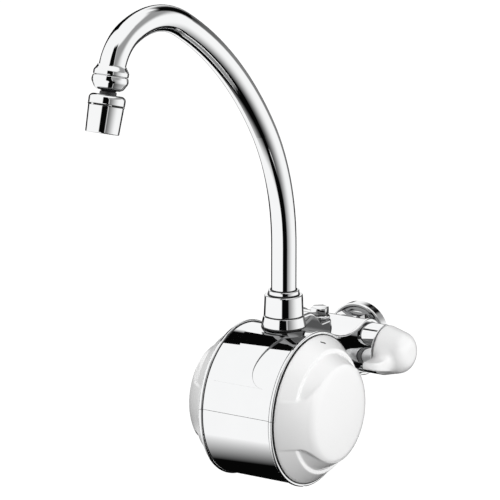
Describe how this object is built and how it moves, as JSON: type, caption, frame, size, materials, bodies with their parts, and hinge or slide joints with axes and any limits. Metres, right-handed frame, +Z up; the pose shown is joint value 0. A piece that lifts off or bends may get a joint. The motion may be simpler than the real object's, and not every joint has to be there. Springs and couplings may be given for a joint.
{
  "type": "electric instant water heater tap",
  "caption": "Wall-mounted electric tap that heats water as it flows: chrome barrel with white end covers, swivelling gooseneck spout, ball-jointed aerator, white lever valve and wall flange.",
  "frame": {"origin": "middle of the half-inch inlet thread at the wall plane, where the flange's back face meets the wall", "axes": "+Y into the wall along the inlet, -Y out into the room along the spout, +X towards the lever's side, +Z up"},
  "size_m": [0.1275, 0.3696, 0.3843],
  "materials": {
    "chrome": "polished",
    "white_plastic": "glossy",
    "grey_plastic": "matte",
    "brass": "machined",
    "steel": "satin",
    "black_rubber": "matte",
    "dark_plastic": "satin",
    "seat_plastic": "matte",
    "ceramic": "matte"
  },
  "bodies": {
    "body": {"upper_shell": "chrome", "lower_shell": "chrome", "shell_screws": "steel", "cable_grommet": "black_rubber", "right_cap": "white_plastic", "left_cap": "white_plastic", "wall_flange": "chrome", "union_nut": "chrome", "inlet_nipple": "brass", "inlet_washer": "black_rubber", "inlet_filter": "grey_plastic", "valve_body": "brass", "feed_o_ring": "black_rubber", "knob_o_ring": "black_rubber", "fixed_disc": "ceramic", "valve_cartridge": "grey_plastic", "gland_nut": "brass", "lever_collar": "chrome", "heating_tank": "grey_plastic", "element_studs": "brass", "element_core": "ceramic", "heating_element": "steel", "diaphragm": "black_rubber", "contact_housing": "grey_plastic", "flange_screws": "steel", "contact_pins": "brass", "terminal_block": "grey_plastic", "return_spring": "steel", "neck_gasket": "black_rubber", "outlet_neck": "brass", "spout_nut": "chrome", "spout_bush": "chrome"},
    "lever": {"lever_handle": "white_plastic", "lever_grub_screw": "steel", "valve_stem": "brass", "moving_disc": "ceramic"},
    "adjuster": {"flow_knob": "chrome", "flow_needle": "brass"},
    "switch_slide": {"contact_carrier": "grey_plastic", "contact_bridge": "brass"},
    "spout": {"spout_tube": "chrome", "spout_o_rings": "black_rubber", "spout_clip": "steel", "socket_ring": "chrome", "socket_cup": "chrome"},
    "ball_ring": {"ball_seat": "seat_plastic"},
    "aerator": {"swivel_ball": "dark_plastic", "aerator_cap": "chrome", "aerator_sleeve": "chrome", "aerator_insert": "grey_plastic", "aerator_washer": "black_rubber"}
  },
  "joints": [
    {"name": "spout_swivel", "type": "hinge", "parent": "body", "child": "spout", "pos_m": [0, -0.1117, 0.04], "axis": [0, 0, 1], "range_deg": [-110, 110]},
    {"name": "aerator_spin", "type": "hinge", "parent": "spout", "child": "ball_ring", "pos_m": [0, -0.33344, 0.25559], "axis": [0, -0.274, -0.9617], "continuous": true},
    {"name": "aerator_tilt", "type": "hinge", "parent": "ball_ring", "child": "aerator", "pos_m": [0, -0.33344, 0.25559], "axis": [1, 0, 0], "range_deg": [-11.5, 11.5]},
    {"name": "lever_turn", "type": "hinge", "parent": "body", "child": "lever", "pos_m": [0.06, -0.0433, 0.0026], "axis": [-1, 0, 0], "range_deg": [0, 90]},
    {"name": "knob_turn", "type": "hinge", "parent": "body", "child": "adjuster", "pos_m": [0, -0.0612, 0.02], "axis": [0, 0, 1], "range_deg": [0, 540]},
    {"name": "contact_push", "type": "slide", "parent": "body", "child": "switch_slide", "axis": [-1, 0, 0], "range_m": [0, 0.0025], "stiffness_N_per_m": 400, "springref_m": -0.003, "deforming": ["return_spring"]}
  ]
}
